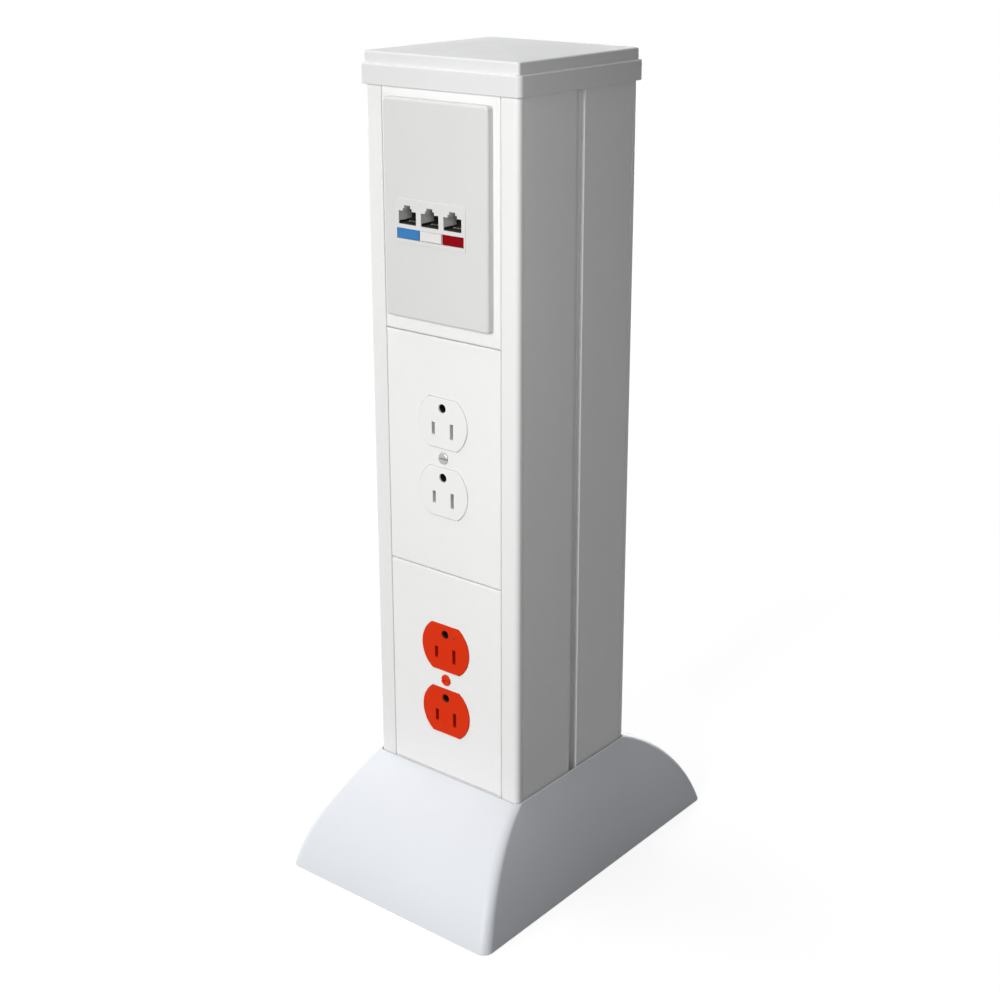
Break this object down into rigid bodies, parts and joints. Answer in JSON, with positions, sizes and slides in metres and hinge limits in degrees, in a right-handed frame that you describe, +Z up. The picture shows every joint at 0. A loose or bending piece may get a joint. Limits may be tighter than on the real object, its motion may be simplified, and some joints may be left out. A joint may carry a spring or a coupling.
{
  "type": "mini power column",
  "caption": "Short square power and data column on a flared base, with a capped top, duplex outlets and data ports on its front.",
  "frame": {"origin": "centre of the base on the floor", "axes": "+Z up the column, front with the outlets faces -Y, +X to the right seen from the front"},
  "size_m": [0.146, 0.212, 0.4632],
  "materials": {
    "column_coat": "off-white powder coat on extruded aluminium, satin",
    "cover_shell": "off-white satin moulding",
    "skirt_shell": "cool white fine-grained moulding",
    "cap_shell": "white fine-grained moulding",
    "plate_steel": "grey coated steel",
    "zinc_steel": "zinc-plated steel",
    "screw_steel": "plain steel screw",
    "orange_screw": "steel screw with an orange head",
    "green_steel": "green-dyed steel screw",
    "nickel": "nickel-plated brass",
    "brass": "rolled brass",
    "gold_wire": "gold-plated wire",
    "bushing_rubber": "black rubber",
    "carrier_plastic": "off-white moulding",
    "plate_plastic": "satin off-white moulding",
    "frame_plastic": "satin off-white moulding",
    "white_nylon": "white nylon, satin",
    "orange_nylon": "orange nylon, satin",
    "black_nylon": "black thermoset",
    "jack_plastic": "dark grey moulding",
    "tab_blue": "blue moulding",
    "tab_white": "white moulding",
    "tab_red": "red moulding"
  },
  "bodies": {
    "root": {"column_front": "column_coat", "column_rear": "column_coat", "data_bezel": "cover_shell", "base_plate": "plate_steel", "web_screws": "zinc_steel", "web_nuts": "zinc_steel", "foot_bolts": "zinc_steel", "foot_nuts": "zinc_steel", "foot_screws": "zinc_steel", "bracket_screws": "zinc_steel", "strap_screws": "zinc_steel", "carrier_screws": "zinc_steel", "neutral_terminal_screws": "nickel", "hot_terminal_screws": "brass", "ground_terminal_screws": "green_steel", "lower_bracket": "zinc_steel", "upper_bracket": "zinc_steel", "data_bracket": "zinc_steel", "barrier_plate": "zinc_steel", "cable_bushing": "bushing_rubber", "carrier_ring": "carrier_plastic", "foot_bracket_front_left": "zinc_steel", "foot_bracket_front_right": "zinc_steel", "foot_bracket_rear_left": "zinc_steel", "foot_bracket_rear_right": "zinc_steel", "orange_outlet_face": "orange_nylon", "orange_outlet_body": "black_nylon", "orange_outlet_strap": "zinc_steel", "orange_hot_contact": "brass", "orange_neutral_contact": "brass", "orange_ground_contact": "brass", "white_outlet_face": "white_nylon", "white_outlet_body": "black_nylon", "white_outlet_strap": "zinc_steel", "white_hot_contact": "brass", "white_neutral_contact": "brass", "white_ground_contact": "brass"},
    "skirt": {"base_skirt": "skirt_shell"},
    "cap": {"top_cap": "cap_shell"},
    "lower_cover_panel": {"lower_cover": "cover_shell", "lower_cover_screw": "orange_screw"},
    "upper_cover_panel": {"upper_cover": "cover_shell", "upper_cover_screw": "screw_steel"},
    "rear_cover_panel": {"rear_cover": "cover_shell"},
    "data_plate_unit": {"data_plate": "plate_plastic", "port_frame": "frame_plastic", "left_jack_body": "jack_plastic", "left_jack_wires": "gold_wire", "left_jack_cap": "jack_plastic", "middle_jack_body": "jack_plastic", "middle_jack_wires": "gold_wire", "middle_jack_cap": "jack_plastic", "right_jack_body": "jack_plastic", "right_jack_wires": "gold_wire", "right_jack_cap": "jack_plastic"},
    "blue_marker": {"blue_tab": "tab_blue"},
    "white_marker": {"white_tab": "tab_white"},
    "red_marker": {"red_tab": "tab_red"}
  },
  "joints": [
    {"name": "skirt_lift", "type": "slide", "parent": "root", "child": "skirt", "axis": [0, 0, 1], "range_m": [0, 0.024]},
    {"name": "cap_lift", "type": "slide", "parent": "root", "child": "cap", "axis": [0, 0, 1], "range_m": [0, 0.03]},
    {"name": "lower_cover_pull", "type": "slide", "parent": "root", "child": "lower_cover_panel", "axis": [0, -1, 0], "range_m": [0, 0.07]},
    {"name": "upper_cover_pull", "type": "slide", "parent": "root", "child": "upper_cover_panel", "axis": [0, -1, 0], "range_m": [0, 0.07]},
    {"name": "rear_cover_pull", "type": "slide", "parent": "root", "child": "rear_cover_panel", "axis": [0, 1, 0], "range_m": [0, 0.07]},
    {"name": "data_plate_pull", "type": "slide", "parent": "root", "child": "data_plate_unit", "axis": [0, -1, 0], "range_m": [0, 0.06]},
    {"name": "blue_tab_pull", "type": "slide", "parent": "data_plate_unit", "child": "blue_marker", "axis": [0, -1, 0], "range_m": [0, 0.01]},
    {"name": "white_tab_pull", "type": "slide", "parent": "data_plate_unit", "child": "white_marker", "axis": [0, -1, 0], "range_m": [0, 0.01]},
    {"name": "red_tab_pull", "type": "slide", "parent": "data_plate_unit", "child": "red_marker", "axis": [0, -1, 0], "range_m": [0, 0.01]}
  ]
}
